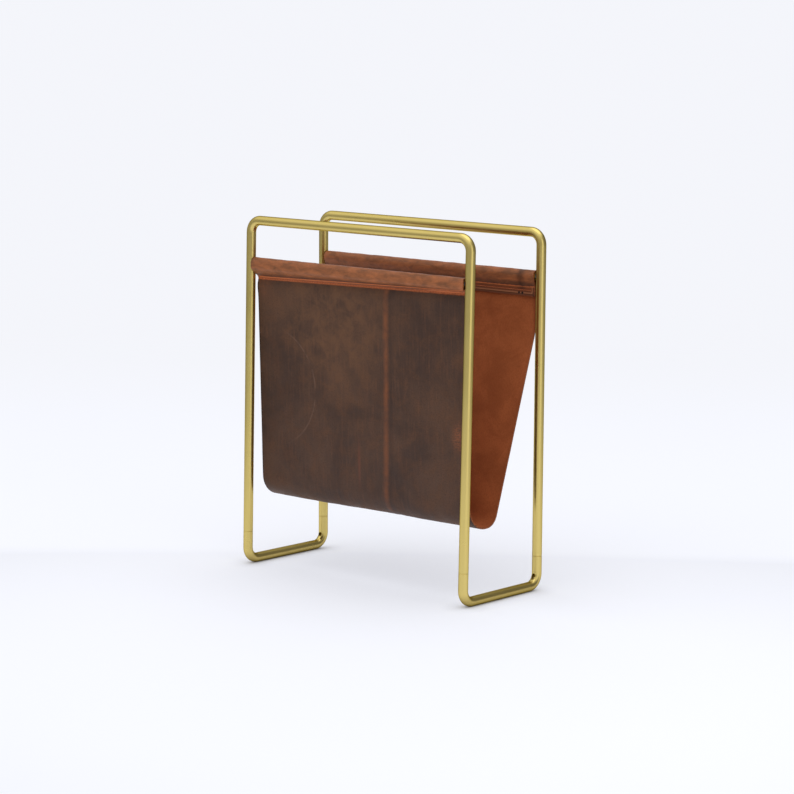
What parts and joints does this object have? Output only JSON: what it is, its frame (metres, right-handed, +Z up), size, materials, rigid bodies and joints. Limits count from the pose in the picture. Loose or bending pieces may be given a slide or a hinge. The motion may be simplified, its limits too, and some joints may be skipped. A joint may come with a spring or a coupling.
{
  "type": "magazine rack",
  "caption": "Free-standing magazine rack: a bent round-tube frame of upright hoops on floor runners, carrying a leather sling sewn over horizontal rods.",
  "frame": {"origin": "on the floor under the middle of the frame", "axes": "+X to the right along the rods, +Y to the back, +Z up"},
  "size_m": [0.434, 0.1796, 0.523],
  "materials": {
    "satin_brass": "satin brass plating over steel tube, fine even grain",
    "bare_steel": "plain turned steel, hidden inside the tube",
    "oiled_leather": "oiled pull-up leather outside, brushed orange-brown flesh side inside",
    "seam_thread": "waxed brown thread"
  },
  "bodies": {
    "root": {"front_hoop": "satin_brass", "rear_hoop": "satin_brass", "left_runner": "satin_brass", "right_runner": "satin_brass", "spigot_front_left": "bare_steel", "spigot_front_right": "bare_steel", "spigot_rear_left": "bare_steel", "spigot_rear_right": "bare_steel", "front_rod": "satin_brass", "rear_rod": "satin_brass", "plug_front_left": "bare_steel", "plug_front_right": "bare_steel", "plug_rear_left": "bare_steel", "plug_rear_right": "bare_steel", "sling": "oiled_leather", "front_seam_thread": "seam_thread", "rear_seam_thread": "seam_thread"}
  },
  "joints": []
}
